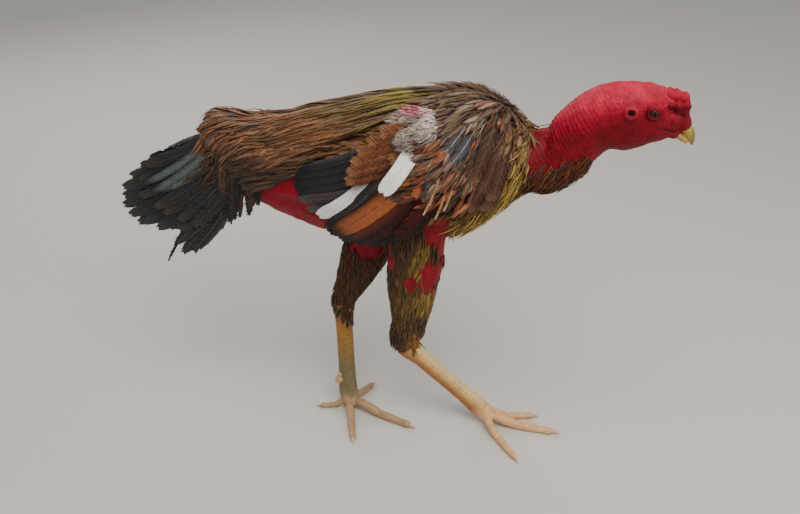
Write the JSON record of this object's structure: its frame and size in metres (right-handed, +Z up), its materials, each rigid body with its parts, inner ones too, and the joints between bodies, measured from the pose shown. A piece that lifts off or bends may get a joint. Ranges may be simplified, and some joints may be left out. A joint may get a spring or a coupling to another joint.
{
  "type": "game cock",
  "caption": "Life-size still model of a bare-necked game cock, walking with its head held low, one foot forward.",
  "frame": {"origin": "on the floor, under the centre of the bounding box", "axes": "+X the way the bird faces, +Y its left side, +Z up"},
  "size_m": [0.6768, 0.178, 0.4829],
  "materials": {
    "plumage": "soft brown and olive body feathers",
    "saddle_feather": "silky brown hackle feathers",
    "tail_feather": "black feathers with a faint green sheen",
    "wing_feather": "chestnut, black and white wing feathers",
    "red_skin": "bare, wrinkled red skin",
    "comb": "knobbly red comb",
    "bill_horn": "smooth yellow horn",
    "eye": "wet and glossy",
    "leg_scale": "yellow horny scales",
    "claw_horn": "pale horn"
  },
  "bodies": {
    "root": {"torso": "plumage", "saddle": "saddle_feather", "tail": "tail_feather", "wing_left": "wing_feather", "wing_right": "wing_feather", "neck_lower": "red_skin", "neck_upper": "red_skin", "head": "red_skin", "comb": "comb", "bill_upper": "bill_horn", "bill_lower": "bill_horn", "eye_left": "eye", "eye_right": "eye", "drumstick_left": "plumage", "drumstick_right": "plumage", "shank_left": "leg_scale", "shank_right": "leg_scale", "foot_left": "leg_scale", "foot_right": "leg_scale", "spur_left": "claw_horn", "spur_right": "claw_horn", "toe_left_middle": "leg_scale", "toe_left_inner": "leg_scale", "toe_left_outer": "leg_scale", "toe_left_hind": "leg_scale", "toe_right_middle": "leg_scale", "toe_right_inner": "leg_scale", "toe_right_outer": "leg_scale", "toe_right_hind": "leg_scale", "claw_left_middle": "claw_horn", "claw_left_inner": "claw_horn", "claw_left_outer": "claw_horn", "claw_left_hind": "claw_horn", "claw_right_middle": "claw_horn", "claw_right_inner": "claw_horn", "claw_right_outer": "claw_horn", "claw_right_hind": "claw_horn"}
  },
  "joints": []
}
